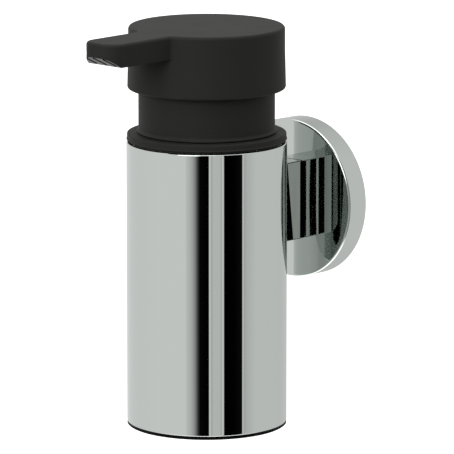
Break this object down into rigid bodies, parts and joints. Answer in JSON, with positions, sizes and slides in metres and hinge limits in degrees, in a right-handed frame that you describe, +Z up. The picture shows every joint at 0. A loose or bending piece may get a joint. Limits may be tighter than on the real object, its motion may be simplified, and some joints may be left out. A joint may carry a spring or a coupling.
{
  "type": "wall-mounted soap dispenser",
  "caption": "Wall-held soap dispenser: chrome tube on an arm and round rosette, with a black press pump, spout and lift-out refill bottle.",
  "frame": {"origin": "centre of the rosette's back, on the wall", "axes": "+Y into the wall, the object stands out towards -Y, +Z up along the tube"},
  "size_m": [0.0556, 0.1042, 0.1385],
  "materials": {
    "chrome_plate": "bright plated",
    "black_moulding": "fine matt moulded",
    "clear_moulding": "translucent natural polypropylene",
    "white_moulding": "smooth moulded",
    "bright_steel": "bright",
    "soft_seal": "soft, matt"
  },
  "bodies": {
    "holder": {"wall_plate": "bright_steel", "rosette": "chrome_plate", "rosette_grub_screw": "bright_steel", "arm": "chrome_plate", "arm_screw_upper": "bright_steel", "arm_screw_lower": "bright_steel", "holder_tube": "chrome_plate", "base_cap": "black_moulding"},
    "insert": {"bottle": "clear_moulding", "flange_ring": "black_moulding"},
    "pump": {"pump_housing": "white_moulding", "lock_cap": "black_moulding", "ball_cage": "white_moulding", "dip_tube": "clear_moulding", "return_spring": "bright_steel", "gasket": "soft_seal"},
    "collar": {"closure_collar": "black_moulding"},
    "inlet_valve": {"inlet_ball": "bright_steel"},
    "plunger": {"piston_seal": "soft_seal"},
    "head": {"pump_head": "black_moulding", "delivery_channel": "white_moulding", "piston_stem": "white_moulding"},
    "outlet_valve": {"outlet_ball": "bright_steel"}
  },
  "joints": [
    {"name": "insert_lift", "type": "slide", "parent": "holder", "child": "insert", "axis": [0, 0, 1], "range_m": [0, 0.12]},
    {"name": "pump_rise", "type": "slide", "parent": "insert", "child": "pump", "axis": [0, 0, 1], "range_m": [0, 0.00375]},
    {"name": "collar_turn", "type": "hinge", "parent": "pump", "child": "collar", "pos_m": [0, -0.05085, 0], "axis": [0, 0, 1], "range_deg": [0, 449]},
    {"name": "inlet_lift", "type": "slide", "parent": "pump", "child": "inlet_valve", "axis": [0, 0, 1], "range_m": [0, 0.0012]},
    {"name": "head_press", "type": "slide", "parent": "pump", "child": "plunger", "axis": [0, 0, -1], "range_m": [0, 0.01], "stiffness_N_per_m": 700, "springref_m": -0.01, "deforming": ["return_spring"]},
    {"name": "head_turn", "type": "hinge", "parent": "plunger", "child": "head", "pos_m": [0, -0.05085, 0], "axis": [0, 0, 1], "range_deg": [-150, 150]},
    {"name": "outlet_lift", "type": "slide", "parent": "head", "child": "outlet_valve", "axis": [0, 0, 1], "range_m": [0, 0.001]}
  ],
  "couplings": [
    {"joint": "pump_rise", "follows": "collar_turn", "m_per_rad": 0.00047746}
  ]
}
